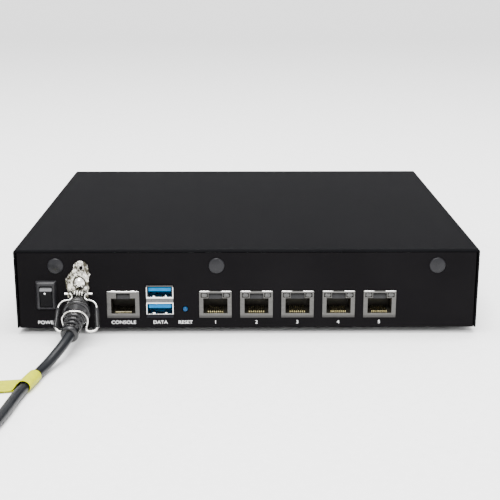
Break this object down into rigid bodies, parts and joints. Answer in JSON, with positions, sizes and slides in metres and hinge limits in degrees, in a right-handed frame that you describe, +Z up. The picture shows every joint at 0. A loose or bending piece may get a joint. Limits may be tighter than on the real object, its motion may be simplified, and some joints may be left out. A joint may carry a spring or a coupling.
{
  "type": "firewall appliance",
  "caption": "Desktop firewall appliance: folded black steel case with network, console and USB ports, rocker switch, reset button and a wire bail that holds the DC power plug in.",
  "frame": {"origin": "on the floor under the middle of the appliance without its lead", "axes": "+Z up, the port panel faces -Y, +X to the right seen from the port panel"},
  "size_m": [0.3075, 0.3578, 0.044],
  "materials": {
    "case_paint": "satin fine-texture powder coat",
    "black_screw": "black oxide",
    "foot_rubber": "matt",
    "blank_plastic": "matt moulded",
    "shield_metal": "nickel-plated, satin",
    "black_plastic": "moulded, satin",
    "gold_contact": "gold flash",
    "lens_plastic": "milky translucent",
    "port_blue": "moulded",
    "button_blue": "moulded",
    "plug_metal": "nickel-plated",
    "plug_plastic": "satin moulded",
    "nickel": "bright nickel",
    "board_green": "solder mask",
    "chip_black": "moulded epoxy",
    "sink_aluminium": "extruded",
    "wire_insulation": "extruded",
    "cord_jacket": "satin extruded jacket",
    "tie_plastic": "matt",
    "tag_yellow": "satin film",
    "adapter_plastic": "fine spark-eroded texture"
  },
  "bodies": {
    "appliance": {"base_chassis": "case_paint", "port_panel": "case_paint", "top_cover": "case_paint", "cover_screws": "black_screw", "front_panel": "case_paint", "rubber_feet": "foot_rubber", "antenna_hole_plugs": "blank_plastic", "lan_shield_1": "shield_metal", "lan_shield_2": "shield_metal", "lan_shield_3": "shield_metal", "lan_shield_4": "shield_metal", "lan_shield_5": "shield_metal", "lan_inserts": "black_plastic", "lan_contacts": "gold_contact", "lan_led_lenses": "lens_plastic", "console_shield": "shield_metal", "console_insert": "black_plastic", "console_contacts": "gold_contact", "usb_shell": "shield_metal", "usb_tongues": "port_blue", "usb_contacts": "gold_contact", "reset_switch_body": "black_plastic", "switch_housing": "black_plastic", "switch_terminals": "gold_contact", "dc_jack": "black_plastic", "dc_jack_contacts": "gold_contact", "dc_plug_barrel": "plug_metal", "dc_plug_body": "plug_plastic", "dc_plug_boot": "plug_plastic", "retainer_bracket": "nickel", "retainer_screw": "nickel", "retainer_spring": "nickel", "main_board": "board_green", "board_standoffs": "plug_metal", "board_screws": "plug_metal", "processor": "chip_black", "heat_sink": "sink_aluminium", "memory_socket": "black_plastic", "memory_module": "board_green", "storage_module": "board_green", "cell_holder": "black_plastic", "coin_cell": "plug_metal", "board_chips": "chip_black", "board_passives": "chip_black", "light_pipes": "lens_plastic", "status_leds": "lens_plastic", "light_board": "board_green", "switch_wires": "wire_insulation", "wire_connector": "black_plastic", "power_cord": "cord_jacket", "cord_coil": "cord_jacket", "coil_tie": "tie_plastic", "cord_tag": "tag_yellow", "adapter_base": "adapter_plastic", "adapter_lid": "adapter_plastic", "adapter_inlet": "adapter_plastic", "adapter_strain_relief": "plug_plastic"},
    "rocker": {"rocker": "black_plastic"},
    "reset_button": {"reset_button": "button_blue"},
    "retainer_bail": {"retainer_bail": "nickel"}
  },
  "joints": [
    {"name": "rocker_tilt", "type": "hinge", "parent": "appliance", "child": "rocker", "pos_m": [-0.1002, -0.09115, 0.0202], "axis": [-1, 0, 0], "range_deg": [0, 20]},
    {"name": "reset_press", "type": "slide", "parent": "appliance", "child": "reset_button", "axis": [0, 1, 0], "range_m": [0, 0.0006], "stiffness_N_per_m": 900, "springref_m": -0.0006},
    {"name": "retainer_swing", "type": "hinge", "parent": "appliance", "child": "retainer_bail", "pos_m": [-0.0832, -0.09635, 0.023], "axis": [-1, 0, 0], "range_deg": [0, 105], "stiffness_Nm_per_rad": 0.004, "springref_deg": -28.65}
  ]
}
